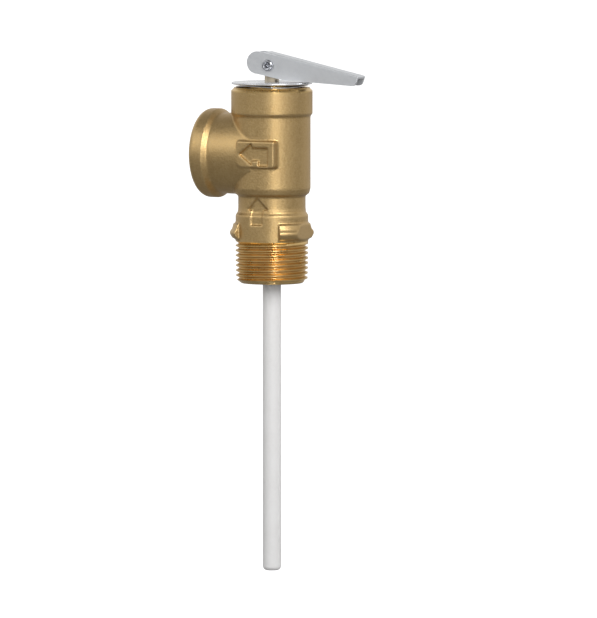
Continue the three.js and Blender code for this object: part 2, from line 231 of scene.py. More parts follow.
def spread(tree, value, low, high):
    node = tree.nodes.new("ShaderNodeMapRange")
    node.inputs["From Min"].default_value = low
    node.inputs["From Max"].default_value = high
    tree.links.new(value, node.inputs["Value"])
    return node.outputs["Result"]


effects = {"contrast": (0.3, 0.7), "edges": (0.47, 0.56), "blurScale": 400.0, "stainScale": 150.0,
           "wanderTurns": 6.0}


def makeGrainGroup():
    # blasted or cast skin: fine pits, broad patches, and sharp edges that carry a painted highlight
    inputs = {"Grain Size": 0.0005, "Patch Size": 0.008}
    outputs = {"Grain": "NodeSocketFloat", "Patches": "NodeSocketFloat", "Edges": "NodeSocketFloat"}
    group, given, wanted = newGroup("castSkin", inputs, outputs)
    place3d = group.nodes.new("ShaderNodeTexCoord").outputs["Object"]
    fine = noiseNode(group, place3d, mathNode(group, "DIVIDE", 1.0, given.outputs["Grain Size"]), 2, 0.55)
    broad = noiseNode(group, place3d, mathNode(group, "DIVIDE", 1.0, given.outputs["Patch Size"]), 4, 0.6)
    pointiness = group.nodes.new("ShaderNodeNewGeometry").outputs["Pointiness"]
    group.links.new(spread(group, fine, *effects["contrast"]), wanted.inputs["Grain"])
    group.links.new(spread(group, broad, *effects["contrast"]), wanted.inputs["Patches"])
    group.links.new(spread(group, pointiness, *effects["edges"]), wanted.inputs["Edges"])
    return group


def makeTurningGroup():
    # fine rings left by a cutting tool, on faces and barrels alike
    inputs = {"Spacing": 0.0002, "Wander": 0.3}
    outputs = {"Rings": "NodeSocketFloat", "Stain": "NodeSocketFloat"}
    group, given, wanted = newGroup("turningMarks", inputs, outputs)
    place3d = group.nodes.new("ShaderNodeTexCoord").outputs["Object"]
    parts = group.nodes.new("ShaderNodeSeparateXYZ")
    group.links.new(place3d, parts.inputs[0])
    square = mathNode(group, "MULTIPLY", parts.outputs["X"], parts.outputs["X"])
    other = mathNode(group, "MULTIPLY", parts.outputs["Y"], parts.outputs["Y"])
    radius = mathNode(group, "SQRT", mathNode(group, "ADD", square, other))
    along = mathNode(group, "ADD", radius, parts.outputs["Z"])
    turns = mathNode(group, "DIVIDE", along, given.outputs["Spacing"])
    blur = noiseNode(group, place3d, effects["blurScale"], 2)
    wander = mathNode(group, "MULTIPLY", blur, given.outputs["Wander"])
    offset = mathNode(group, "MULTIPLY", wander, effects["wanderTurns"])
    wave = mathNode(group, "SINE", mathNode(group, "ADD", turns, offset))
    stain = noiseNode(group, place3d, effects["stainScale"], 5, 0.6)
    group.links.new(spread(group, wave, -1.0, 1.0), wanted.inputs["Rings"])
    group.links.new(spread(group, stain, *effects["contrast"]), wanted.inputs["Stain"])
    return group


grainGroup = makeGrainGroup()
turningGroup = makeTurningGroup()


def startMaterial(name, **values):
    material = bpy.data.materials.new(name)
    material.use_nodes = True
    tree = material.node_tree
    shader = tree.nodes["Principled BSDF"]
    for label, value in values.items():
        shader.inputs[label.replace("_", " ")].default_value = value
    return material, tree, shader


def useGroup(tree, group, **values):
    node = tree.nodes.new("ShaderNodeGroup")
    node.node_tree = group
    for label, value in values.items():
        node.inputs[label.replace("_", " ")].default_value = value
    return node.outputs


def mixColours(tree, factor, first, second):
    node = tree.nodes.new("ShaderNodeMix")
    node.data_type = "RGBA"
    tree.links.new(factor, node.inputs["Factor"])
    for socket, value in ((node.inputs["A"], first), (node.inputs["B"], second)):
        if isinstance(value, tuple):
            socket.default_value = (*value, 1)
        else:
            tree.links.new(value, socket)
    return node.outputs["Result"]


def driveRoughness(tree, shader, value, low, high):
    node = tree.nodes.new("ShaderNodeMapRange")
    node.inputs["To Min"].default_value = low
    node.inputs["To Max"].default_value = high
    tree.links.new(value, node.inputs["Value"])
    tree.links.new(node.outputs["Result"], shader.inputs["Roughness"])


def addBump(tree, shader, height, depth):
    node = tree.nodes.new("ShaderNodeBump")
    node.inputs["Distance"].default_value = depth
    tree.links.new(height, node.inputs["Height"])
    tree.links.new(node.outputs["Normal"], shader.inputs["Normal"])


def castMaterial(name, look):
    material, tree, shader = startMaterial(name, Metallic=look["metal"])
    skin = useGroup(tree, grainGroup, Grain_Size=look["grain"], Patch_Size=look["patch"])
    ground = mixColours(tree, skin["Patches"], look["dark"], look["light"])
    specks = mathNode(tree, "MULTIPLY", skin["Grain"], look["speckle"])
    # sharp convex edges are lightened towards the bright colour: a painted highlight
    edgeHighlight = mathNode(tree, "MULTIPLY", skin["Edges"], look["edgeHighlight"])
    speckled = mixColours(tree, specks, ground, look["bright"])
    edgeLit = mixColours(tree, edgeHighlight, speckled, look["bright"])
    tree.links.new(edgeLit, shader.inputs["Base Color"])
    driveRoughness(tree, shader, skin["Grain"], *look["roughness"])
    addBump(tree, shader, skin["Grain"], look["depth"])
    return material


def turnedMaterial(name, look):
    material, tree, shader = startMaterial(name, Metallic=look["metal"])
    marks = useGroup(tree, turningGroup, Spacing=look["spacing"], Wander=look["wander"])
    stained = mixColours(tree, marks["Stain"], look["dark"], look["light"])
    tree.links.new(stained, shader.inputs["Base Color"])
    driveRoughness(tree, shader, marks["Stain"], *look["roughness"])
    addBump(tree, shader, marks["Rings"], look["depth"])
    return material


castBrass = castMaterial("castBrass", {
    "dark": (0.45, 0.285, 0.105), "light": (0.52, 0.345, 0.14), "bright": (0.67, 0.50, 0.26), "metal": 0.93,
    "speckle": 0.5, "edgeHighlight": 0.4, "roughness": (0.32, 0.5), "grain": 0.0006, "patch": 0.007, "depth": 0.00003,
})
machinedBrass = turnedMaterial("machinedBrass", {
    "dark": (0.66, 0.44, 0.17), "light": (0.76, 0.54, 0.24), "metal": 1.0, "roughness": (0.24, 0.34),
    "spacing": 0.00004, "wander": 0.4, "depth": 0.000002,
})
stemBrass = turnedMaterial("stemBrass", {
    "dark": (0.36, 0.31, 0.24), "light": (0.47, 0.42, 0.33), "metal": 0.9, "roughness": (0.25, 0.4),
    "spacing": 0.00006, "wander": 0.5, "depth": 0.000004,
})
platedSteel = castMaterial("platedSteel", {
    "dark": (0.68, 0.70, 0.725), "light": (0.75, 0.77, 0.79), "bright": (0.85, 0.86, 0.88), "metal": 0.8,
    "speckle": 0.2, "edgeHighlight": 0.25, "roughness": (0.32, 0.42), "grain": 0.0009, "patch": 0.006,
    "depth": 0.000012,
})
rivetSteel = turnedMaterial("rivetSteel", {
    "dark": (0.4, 0.41, 0.44), "light": (0.52, 0.53, 0.56), "metal": 1.0, "roughness": (0.16, 0.26),
    "spacing": 0.00008, "wander": 0.6, "depth": 0.000004,
})
tinnedPlate = castMaterial("tinnedPlate", {
    "dark": (0.74, 0.75, 0.77), "light": (0.82, 0.83, 0.85), "bright": (0.9, 0.9, 0.92), "metal": 0.8,
    "speckle": 0.1, "edgeHighlight": 0.2, "roughness": (0.18, 0.28), "grain": 0.0012, "patch": 0.009,
    "depth": 0.000006,
})
springSteel = turnedMaterial("springSteel", {
    "dark": (0.36, 0.37, 0.39), "light": (0.46, 0.47, 0.49), "metal": 1.0, "roughness": (0.22, 0.34),
    "spacing": 0.00006, "wander": 0.6, "depth": 0.000003,
})
washerSteel = turnedMaterial("washerSteel", {
    "dark": (0.66, 0.66, 0.68), "light": (0.78, 0.77, 0.78), "metal": 1.0, "roughness": (0.25, 0.36),
    "spacing": 0.00008, "wander": 0.6, "depth": 0.000003,
})
silicone = castMaterial("silicone", {
    "dark": (0.42, 0.055, 0.03), "light": (0.5, 0.075, 0.045), "bright": (0.56, 0.1, 0.07), "metal": 0.0,
    "speckle": 0.2, "edgeHighlight": 0.1, "roughness": (0.5, 0.65), "grain": 0.0004, "patch": 0.004, "depth": 0.00001,
})
fibre = castMaterial("fibre", {
    "dark": (0.035, 0.045, 0.035), "light": (0.06, 0.07, 0.055), "bright": (0.12, 0.13, 0.1), "metal": 0.0,
    "speckle": 0.5, "edgeHighlight": 0.2, "roughness": (0.7, 0.9), "grain": 0.0003, "patch": 0.002, "depth": 0.00003,
})
whiteCoating = castMaterial("whiteCoating", {
    "dark": (0.77, 0.76, 0.75), "light": (0.81, 0.805, 0.8), "bright": (0.87, 0.865, 0.86), "metal": 0.0,
    "speckle": 0.25, "edgeHighlight": 0.2, "roughness": (0.36, 0.5), "grain": 0.0011, "patch": 0.012,
    "depth": 0.000025,
})
copper = turnedMaterial("copper", {
    "dark": (0.5, 0.2, 0.1), "light": (0.62, 0.29, 0.16), "metal": 1.0, "roughness": (0.22, 0.36),
    "spacing": 0.0001, "wander": 0.8, "depth": 0.000004,
})
waxFill = castMaterial("waxFill", {
    "dark": (0.6, 0.48, 0.24), "light": (0.7, 0.58, 0.32), "bright": (0.8, 0.7, 0.45), "metal": 0.0,
    "speckle": 0.2, "edgeHighlight": 0.1, "roughness": (0.4, 0.6), "grain": 0.0006, "patch": 0.003, "depth": 0.00002,
})
blackRubber = castMaterial("blackRubber", {
    "dark": (0.012, 0.012, 0.013), "light": (0.02, 0.02, 0.022), "bright": (0.05, 0.05, 0.052), "metal": 0.0,
    "speckle": 0.3, "edgeHighlight": 0.2, "roughness": (0.55, 0.75), "grain": 0.0004, "patch": 0.003,
    "depth": 0.00001,
})
print("materials made")

# Camera, light and floor
studio = {
    "azimuth": 26, "distance": 3500, "cameraHeight": 244, "targetHeight": -9.6, "targetRight": 9.7,
    "pixelsPerMm": 2.74, "frameHeight": 618, "sensor": 36, "clip": (0.01, 200), "lampAim": 40,
    "skyFront": 0.72, "skyBack": 0.82, "skySpan": (-0.95, 0.1), "zenithSpan": (0.45, 0.9), "zenith": 0.3,
    "floorBelow": 25, "floorSize": 60000, "floorThickness": 10, "floorTone": 0.25,
    "floorFront": 0.04, "floorBack": 0.35, "floorSpan": (-700, -80), "floorGlow": 1.05,
}
lamps = {
    "keyLight": {"turn": 30, "rise": 30, "distance": 1200, "width": 420, "height": 600, "power": 5.3},
    "stripLight": {"turn": 9, "rise": 14, "distance": 1200, "width": 36, "height": 1700, "power": 5.5},
    "sideLight": {"turn": -65, "rise": 30, "distance": 1200, "width": 700, "height": 700, "power": 1.6},
}


def towardsCamera():
    turn = math.radians(studio["azimuth"])
    return Vector((math.sin(turn), -math.cos(turn), 0))


def makeCamera():
    back = towardsCamera()
    right = Vector((-back.y, back.x, 0))
    target = right * studio["targetRight"] + Vector((0, 0, studio["targetHeight"]))
    spot = target + back * studio["distance"]
    spot.z = studio["cameraHeight"]
    data = bpy.data.cameras.new("camera")
    seen = studio["frameHeight"] / studio["pixelsPerMm"]
    data.sensor_width = studio["sensor"]
    data.lens = studio["sensor"] * (target - spot).length / seen
    data.clip_start, data.clip_end = studio["clip"]
    camera = bpy.data.objects.new("camera", data)
    camera.location = spot * mm
    camera.rotation_euler = (target - spot).to_track_quat("-Z", "Y").to_euler()
    sheet.objects.link(camera)
    bpy.context.scene.camera = camera


def addLamp(name, look):
    # a soft box aimed at the middle of the casting; turn is measured from the camera's side
    middle = Vector((0, 0, studio["lampAim"]))
    around, up = math.radians(studio["azimuth"] + look["turn"]), math.radians(look["rise"])
    way = Vector((math.sin(around) * math.cos(up), -math.cos(around) * math.cos(up), math.sin(up)))
    data = bpy.data.lights.new(name, "AREA")
    data.shape = "RECTANGLE"
    data.size, data.size_y = look["width"] * mm, look["height"] * mm
    data.energy = look["power"]
    lamp = bpy.data.objects.new(name, data)
    lamp.location = (middle + way * look["distance"]) * mm
    lamp.rotation_euler = (-way).to_track_quat("-Z", "Y").to_euler()
    sheet.objects.link(lamp)


def easedRange(tree, value, span, start, end):
    node = tree.nodes.new("ShaderNodeMapRange")
    node.interpolation_type = "SMOOTHSTEP"
    node.inputs["From Min"].default_value, node.inputs["From Max"].default_value = span
    node.inputs["To Min"].default_value, node.inputs["To Max"].default_value = start, end
    tree.links.new(value, node.inputs["Value"])
    return node.outputs["Result"]


def glowLevel(tree, coordinate, span, front, back, seen):
    # how bright the paper sweep is: dim in front, bright behind, white to the eye
    side = tree.nodes.new("ShaderNodeVectorMath")
    side.operation = "DOT_PRODUCT"
    side.inputs[1].default_value = towardsCamera()
    tree.links.new(coordinate, side.inputs[0])
    fall = easedRange(tree, side.outputs["Value"], span, back, front)
    path = tree.nodes.new("ShaderNodeLightPath")
    level = tree.nodes.new("ShaderNodeMapRange")
    level.inputs["To Max"].default_value = seen
    tree.links.new(path.outputs["Is Camera Ray"], level.inputs["Value"])
    tree.links.new(fall, level.inputs["To Min"])
    return level.outputs["Result"]


def makeSurround():
    world = bpy.data.worlds.new("surround")
    world.use_nodes = True
    tree = world.node_tree
    background = tree.nodes["Background"]
    background.inputs["Color"].default_value = (1, 1, 1, 1)
    way = tree.nodes.new("ShaderNodeTexCoord").outputs["Generated"]
    level = glowLevel(tree, way, studio["skySpan"], studio["skyFront"], studio["skyBack"], 1.0)
    rise = tree.nodes.new("ShaderNodeSeparateXYZ")
    tree.links.new(way, rise.inputs["Vector"])
    dimming = easedRange(tree, rise.outputs["Z"], studio["zenithSpan"], 1, studio["zenith"])
    tree.links.new(mathNode(tree, "MULTIPLY", level, dimming), background.inputs["Strength"])
    bpy.context.scene.world = world


def makeFloor():
    lowest = cadBox[0].z / mm - studio["floorBelow"]
    half = studio["floorSize"] / 2
    outline = [(-half, -half), (half, -half), (half, half), (-half, half)]
    floor = plate("floor", outline, lowest - studio["floorThickness"], lowest, "XY")
    floor.data.transform(Matrix.Scale(mm, 4))
    material, tree, shader = startMaterial("palePaper", Roughness=0.9)
    shader.inputs["Base Color"].default_value = (*[studio["floorTone"]] * 3, 1)
    shader.inputs["Emission Color"].default_value = (1, 1, 1, 1)
    where = tree.nodes.new("ShaderNodeTexCoord").outputs["Object"]
    span = [edge * mm for edge in studio["floorSpan"]]
    level = glowLevel(tree, where, span, studio["floorFront"], studio["floorBack"], studio["floorGlow"])
    tree.links.new(level, shader.inputs["Emission Strength"])
    floor.data.materials.append(material)


makeCamera()
makeSurround()
makeFloor()
for lampName, lampLook in lamps.items():
    addLamp(lampName, lampLook)
bpy.context.scene.view_settings.view_transform = "Standard"
print("studio set")

# Body
bodyLow, bodyHigh = corners("body")
pipe = {
    "pitch": 25.4 / 14, "depth": 1.12, "length": 15.4, "crestLow": 13.0, "taper": 1 / 32,
    "pointRadius": 11.1,
    "chamfer": 1.4, "crestShare": 0.26, "rootShare": 0.16, "fade": 0.8, "crestMost": 13.25, "steps": 120,
}
casting = {
    "band": 13.25, "bandTop": 24.9, "neck": 12.3, "neckLow": 26.3, "lip": 0.1, "neckTop": 31.9,
    "chest": 14.1,
    "chestLow": 34.6, "chestTop": 61.1, "crown": 14.85, "crownLow": 62.0, "crownTop": 70.3, "rim": 13.9,
    "low": 14.5, "voxel": 0.32, "smoothing": 2, "melt": 0.5, "rimCut": 0.3, "rimDrop": 0.2, "past": 20,
    "above": 80,
}
outlet = {"height": 47.0, "radius": 14.75, "draft": 0.35, "bead": 16.3, "beadStart": 21.1, "coneStart": 19.3,
          "edge": 2.3, "face": -bodyLow.x, "minor": 12.1, "depth": 14.8, "port": 10.2,
          "margin": 5, "fade": 3, "flare": 1.3, "root": 2, "spare": 0.6}
lug = {
    "flat": 13.6, "spread": 53, "low": 10, "high": 30,
    "profile": [(0, 14.5), (12.65, 14.5), (13.25, 16.0), (14.5, 16.6, 0.4), (15.35, 18.0, 0.8),
                (15.3, 19.0, 0.3), (14.5, 20.0, 0.5), (14.1, 21.7, 0.3), (13.05, 22.3), (0, 22.3)],
}
bore = {"inlet": 9.6, "groove": 10.4, "grooveLow": 18.3, "grooveHigh": 19.9, "ledge": 23, "nozzle": 6.5,
        "lip": 8, "lipTop": 34, "floor": 32.6, "chamber": 11, "seatTop": 60.6, "bonnet": 12.6, "crimp": 67.3,
        "mouth": 11.2, "chamfer": 0.5, "below": -1, "above": 75}


def threadRise(z, angle):
    # how far up the thread a point lies: 0 on the root's flat, 1 on the crest's
    phase = (z / pipe["pitch"] - angle / fullTurn) % 1
    toCrest = abs(phase - 0.5) * 2
    ramp = (toCrest - pipe["rootShare"]) / (1 - pipe["rootShare"] - pipe["crestShare"])
    return min(max(ramp, 0), 1)


def threadRows(low, high, radiusAt):
    # rows of points round the axis that follow the helix, held between two heights
    flats = (0, pipe["rootShare"] / 2, 0.5 - pipe["crestShare"] / 2, 0.5)
    breaks = sorted({0.5 - f for f in flats} | {0.5 + f for f in flats[:-1]})
    count = int((high - low) / pipe["pitch"]) + 3
    first = math.floor(low / pipe["pitch"])
    rows = []
    for step in range(pipe["steps"] + 1):
        angle = fullTurn * step / pipe["steps"]
        heights = [low]
        for turn in range(-1, count):
            for share in breaks:
                z = (first + turn + share + step / pipe["steps"]) * pipe["pitch"]
                heights.append(min(max(z, low), high))
        heights.append(high)
        rows.append([(radiusAt(z, angle), angle, z) for z in heights])
    return rows


def threadedPlug(name, low, high, radiusAt):
    # a solid plug with a helical thread on its side
    bm = bmesh.new()
    rows = []
    for row in threadRows(low, high, radiusAt):
        points = [(0, row[0][1], low)] + row + [(0, row[0][1], high)]
        rows.append([bm.verts.new((r * math.cos(a), r * math.sin(a), z)) for r, a, z in points])
    bridgeRows(bm, rows)
    return newPiece(name, bm)


def inletThreadRadius(z, angle):
    crest = min(pipe["crestLow"] + z * pipe["taper"], pipe["crestMost"])
    fade = min(max((pipe["length"] - z) / pipe["fade"], 0), 1)
    radius = crest - pipe["depth"] * fade * (1 - threadRise(z, angle))
    cone = pipe["pointRadius"] + z * (crest - pipe["pointRadius"]) / pipe["chamfer"]
    return min(radius, cone)


def outletThreadRadius(t, angle):
    # t runs out of the port; the thread's crests are its smallest radius
    crest = outlet["minor"] - (outlet["face"] - t) * pipe["taper"] * 0.5
    start = outlet["face"] - outlet["depth"]
    fade = min(max((t - start) / outlet["fade"], 0), 1)
    radius = crest + pipe["depth"] * fade * (1 - threadRise(t, angle))
    flare = crest + outlet["flare"] - max(outlet["face"] - t, 0)
    return max(radius, flare)


def castingOutline():
    c = casting
    return softened([
        (0, c["low"]), (c["band"], c["low"]), (c["band"], c["bandTop"], 0.4),
        (c["neck"] + 0.1, c["neckLow"] - 0.2, 0.2),
        (c["neck"] + c["lip"], c["neckLow"] + 0.3, 0.25), (c["neck"], c["neckLow"] + 1.3, 0.8),
        (c["neck"], c["neckTop"], 0.5), (c["chest"] - 0.5, c["neckTop"] + 0.9, 0.9),
        (c["chest"], c["chestLow"], 1.3), (c["chest"], c["chestTop"], 0.25),
        (c["crown"], c["crownLow"] - 0.2, 0.3), (c["crown"], bodyHigh.z), (0, bodyHigh.z),
    ])


def outletOutline():
    # carried past its face, which is cut back afterwards
    o = outlet
    end = o["face"] + o["spare"]
    return softened([
        (0, o["root"]), (o["radius"] + o["draft"], o["root"]), (o["radius"], o["coneStart"], 0.8),
        (o["bead"], o["beadStart"], 0.7), (o["bead"], end, o["edge"] + o["spare"]), (0, end),
    ], steps=8)


def towardsOutlet(piece):
    # from along +Z to along -X, at the outlet's height
    return turnPiece(piece, "Y", -90, (0, 0, outlet["height"]))


def lugPiece(side):
    # a turned rib, kept to a sector and cut by a wrench flat
    rib = turned("lug", softened(lug["profile"]), 180)
    edge = lug["flat"] * math.tan(math.radians(lug["spread"]))
    outline = [(0, 0), (lug["flat"], -edge), (lug["flat"], edge)]
    sector = plate("sector", outline, lug["low"], lug["high"], "XY")
    return turnPiece(combine(rib, sector, "INTERSECT"), "Z", 180 * side)


padShape = {"left": -7.0, "right": 7.95, "low": 42.8, "high": 52.35, "face": -15.0, "back": -10,
            "draft": 0.12, "corner": 0.6, "lowCorner": 1.8, "proud": 1}
flowArrow = {"middle": 47.6, "tip": -6.2, "barb": -0.9, "barbHalf": 4.2, "shaftHalf": 2.4, "turnLeft": 1.6,
             "turnRight": 5.5, "tail": 43.3, "depth": 1.0}
upArrow = {"tip": 31.7, "barb": 26.9, "barbHalf": 4.4, "stemHalf": 2.35, "tail": 21.6, "depth": 0.75,
           "coreLow": 10, "coreHigh": 40, "front": -20}


def padPiece():
    # its walls lean outwards towards the casting
    p = padShape
    outline = softened([
        (p["left"], p["low"], p["lowCorner"]), (p["right"], p["low"], p["corner"]),
        (p["right"], p["high"], p["corner"]), (p["left"], p["high"], p["corner"]),
    ], closed=True)
    piece = plate("pad", outline, p["face"], p["back"])
    centre = Vector(((p["left"] + p["right"]) / 2, 0, (p["low"] + p["high"]) / 2))
    for vertex in piece.data.vertices:
        if vertex.co.y > p["face"] + p["proud"]:
            away = vertex.co - centre
            vertex.co.x += math.copysign(p["draft"], away.x) * 2
            vertex.co.z += math.copysign(p["draft"], away.z)
    return piece


def padArrow():
    # a bent arrow: up its tail, round the corner and out along the spout
    a = flowArrow
    shaftLow, shaftHigh = a["middle"] - a["shaftHalf"], a["middle"] + a["shaftHalf"]
    arrow = [
        (a["tip"], a["middle"]), (a["barb"], a["middle"] - a["barbHalf"]), (a["barb"], shaftLow),
        (a["turnLeft"], shaftLow), (a["turnLeft"], a["tail"]), (a["turnRight"], a["tail"]),
        (a["turnRight"], shaftHigh), (a["barb"], shaftHigh), (a["barb"], a["middle"] + a["barbHalf"]),
    ]
    return plate("flowArrow", arrow, padShape["face"] - padShape["proud"], padShape["face"] + a["depth"])


def neckArrow():
    # the arrow's block, less a core that keeps its depth even
    a, c = upArrow, casting
    outline = [
        (-a["stemHalf"], a["tail"]), (a["stemHalf"], a["tail"]), (a["stemHalf"], a["barb"]),
        (a["barbHalf"], a["barb"]), (0, a["tip"]), (-a["barbHalf"], a["barb"]), (-a["stemHalf"], a["barb"]),
    ]
    bandCore, neckCore = c["band"] - a["depth"], c["neck"] - a["depth"]
    core = turned("core", [
        (0, a["coreLow"]), (bandCore, a["coreLow"]), (bandCore, c["bandTop"]), (neckCore, c["neckLow"]),
        (neckCore, a["coreHigh"]), (0, a["coreHigh"]),
    ])
    return combine(plate("upArrow", outline, a["front"], 0), core)


def insideTool():
    b = bore
    return turned("inside", [
        (0, b["below"]), (b["inlet"] + b["chamfer"], b["below"]), (b["inlet"] + b["chamfer"], 0),
        (b["inlet"], b["chamfer"]), (b["inlet"], b["grooveLow"]), (b["groove"], b["grooveLow"]),
        (b["groove"], b["grooveHigh"]), (b["inlet"], b["grooveHigh"]), (b["inlet"], b["ledge"]),
        (b["nozzle"], b["ledge"]), (b["nozzle"], b["lipTop"]), (b["lip"], b["lipTop"]),
        (b["lip"], b["floor"]),
        (b["chamber"], b["floor"]), (b["chamber"], b["seatTop"]), (b["bonnet"], b["seatTop"]),
        (b["bonnet"], b["crimp"]), (b["mouth"], b["crimp"]), (b["mouth"], b["above"]), (0, b["above"]),
    ])


def cylinder(name, radius, low, high):
    return turned(name, [(0, low), (radius, low), (radius, high), (0, high)])


def makeBody():
    # the casting is joined and melted together first, then machined by cutters that reach past it
    c, far, threadTop = casting, outlet["face"], pipe["length"]
    body = turned("body_casting", castingOutline(), 180)
    combine(body, towardsOutlet(turned("spout", outletOutline(), 180)), "UNION")
    combine(body, padPiece(), "UNION")
    for side in (0, 1):
        combine(body, lugPiece(side), "UNION")
    combine(body, padArrow())
    combine(body, neckArrow())
    skin = body.modifiers.new("skin", "REMESH")
    skin.mode = "VOXEL"
    skin.voxel_size = c["voxel"]
    melt = body.modifiers.new("melt", "SMOOTH")
    melt.factor, melt.iterations = c["melt"], c["smoothing"]
    settle(body)
    print("casting", len(body.data.polygons))
    combine(body, towardsOutlet(cylinder("facing", c["past"], far, far + outlet["margin"])))
    rimLow = c["crownTop"] - c["rimCut"]
    rim = [(c["crown"] + c["rimCut"], rimLow), (c["past"], rimLow), (c["past"], c["above"]),
           (c["rim"], c["above"]), (c["rim"], bodyHigh.z - c["rimDrop"])]
    combine(body, turned("rimCut", rim, 180, closed=True))
    combine(body, cylinder("shoulder", c["past"], 0, threadTop))
    combine(body, threadedPlug("inletThread", 0, threadTop + 1, inletThreadRadius), "UNION")
    combine(body, insideTool())
    combine(body, towardsOutlet(threadedPlug("tap", far - outlet["depth"], far + 1, outletThreadRadius)))
    combine(body, towardsOutlet(cylinder("port", outlet["port"], 0, far - outlet["margin"])))
    return body


machining = {"near": 0.1, "edge": 0.02, "shoulder": 0.05, "rimLow": 0.25, "spoutFrom": -9,
             "spoutAround": 1.9}


def markMachined(body):
    # the threads, bores and faced ends take the machined finish
    mesh = body.data
    mesh.materials.clear()
    mesh.materials.append(castBrass)
    mesh.materials.append(machinedBrass)
    centre = np.zeros(len(mesh.polygons) * 3)
    mesh.polygons.foreach_get("center", centre)
    x, y, z = centre.reshape(-1, 3).T
    radius = np.hypot(x, y)
    around = np.hypot(y, z - outlet["height"])
    near = machining["near"]
    inlet = z < pipe["length"] + machining["shoulder"]
    chamber = radius < np.where(z > bore["seatTop"] - near, bore["bonnet"] + near, bore["chamber"] + near)
    lowBore = (z < bore["ledge"] + near) & (radius < bore["groove"] + near)
    inner = np.where(z < bore["floor"] - near, lowBore | (radius < bore["nozzle"] + near), chamber)
    rim = (z > casting["crownTop"] - machining["rimLow"]) & (radius > bore["mouth"] + machining["edge"])
    spout = (x < machining["spoutFrom"]) & (around < outlet["minor"] + machining["spoutAround"])
    faced = -x > outlet["face"] - machining["edge"]
    machined = (inlet | inner | rim | spout | faced).astype(np.int32)
    mesh.polygons.foreach_set("material_index", machined)


body = makeBody()
markMachined(body)
place(body, "body", "housing", None, crease=40)
print("body made", len(body.data.polygons))

# Cap: bonnet, gasket, wave washer and plate
def ringOutline(inner, outer, low, high, edge):
    square = [(inner, low, edge), (outer, low, edge), (outer, high, edge), (inner, high, edge)]
    return softened(square, True, 3)


def ring(name, inner, outer, low, high, edge, sides=96):
    return turned(name, ringOutline(inner, outer, low, high, edge), sides, closed=True)


def disc(name, radius, low, high, edge):
    outline = softened([(0, low), (radius, low, edge), (radius, high, edge), (0, high)], steps=3)
    return turned(name, outline, 64)


capSizes = {
    "hole": 2.8, "spigot": 6.3, "flangeLow": 61.9, "flangeHigh": 67, "boss": 8, "edge": 0.3,
    "gasketInner": 11.3, "waves": 3, "waveTurn": 253, "waveSwing": 0.26, "waveThickness": 0.3,
    "waveInner": 8.6,
    "plateRise": 0.22, "plateFoot": 8.2, "plateBend": 3, "plateEdge": 0.34,
}


def makeBonnet():
    c = capSizes
    low, high = corners("bonnet")
    outline = softened([
        (c["hole"], low.z, c["edge"]), (c["spigot"], low.z, c["edge"]), (c["spigot"], c["flangeLow"], 0.4),
        (high.x, c["flangeLow"], c["edge"]), (high.x, c["flangeHigh"], c["edge"]),
        (c["boss"], c["flangeHigh"], 0.4), (c["boss"], high.z, c["edge"]), (c["hole"], high.z, c["edge"]),
    ], True)
    bonnet = turned("bonnet_turned", outline, 128, closed=True)
    place(bonnet, "bonnet", "housing", machinedBrass)


def makeGasket():
    low, high = corners("bonnet_gasket")
    gasket = ring("bonnet_gasket_cut", capSizes["gasketInner"], high.x, low.z, high.z, 0.08)
    place(gasket, "bonnet_gasket", "housing", fibre)


def makeWaveWasher():
    c = capSizes
    low, high = corners("wave_washer")
    middle = (low.z + high.z) / 2
    half = c["waveThickness"] / 2
    piece = ring("wave_washer_pressed", c["waveInner"], high.x, middle - half, middle + half, 0.1, 144)
    for vertex in piece.data.vertices:
        angle = math.atan2(vertex.co.y, vertex.co.x) - math.radians(c["waveTurn"])
        vertex.co.z += c["waveSwing"] * math.cos(c["waves"] * angle)
    place(piece, "wave_washer", "housing", washerSteel)


def makeTopPlate():
    # a pressed washer, raised a little round the stem, with its rim rounded by the die
    c = capSizes
    low, high = corners("top_plate")
    r = high.x
    outline = softened([
        (c["hole"], low.z + c["plateRise"], 0.1), (c["plateFoot"], low.z, c["plateBend"]),
        (r, low.z, c["plateEdge"]), (r, high.z, c["plateEdge"]),
        (c["plateFoot"], high.z, c["plateBend"]), (c["hole"], high.z + c["plateRise"], 0.1),
    ], True)
    pressed = turned("top_plate_pressed", outline, 160, closed=True)
    place(pressed, "top_plate", "housing", tinnedPlate)


makeBonnet()
makeGasket()
makeWaveWasher()
makeTopPlate()
print("cap made")

# Springs
springs = {
    "main_spring": {"radius": 8, "wire": 1.0, "turns": 5.5, "closing": 0.4, "steps": 40, "sides": 12,
                    "joint": "valve_lift", "keep": 0.861},
    "rod_return_spring": {"radius": 1.42, "wire": 0.22, "turns": 8, "closing": 0.4, "steps": 28, "sides": 8,
                          "joint": "rod_thrust", "keep": 0.904},
}


def makeSpring(node, look):
    # a round wire wound between its two seats, closing up and ground flat at both ends
    low, high = corners(node)
    r, wire = look["radius"], look["wire"]
    count = int(look["turns"] * look["steps"])
    bm = bmesh.new()
    rows = []
    for step in range(count + 1):
        t = step / count
        angle = t * look["turns"] * fullTurn
        share = t - look["closing"] * math.sin(fullTurn * t) / fullTurn
        z = low.z + wire + share * (high.z - low.z - 2 * wire)
        row = []
        for side in range(look["sides"]):
            turn = fullTurn * side / look["sides"]
            out = r + wire * math.cos(turn)
            height = min(max(z + wire * math.sin(turn), low.z), high.z)
            row.append(bm.verts.new((out * math.cos(angle), out * math.sin(angle), height)))
        rows.append(row)
    bridgeRows(bm, [row + row[:1] for row in rows])
    bm.faces.new(rows[0])
    bm.faces.new(rows[-1])
    piece = place(newPiece(node + "_wound", bm), node, "housing", springSteel, 60)
    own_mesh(piece)


for springNode, springLook in springs.items():
    makeSpring(springNode, springLook)
print("springs made")

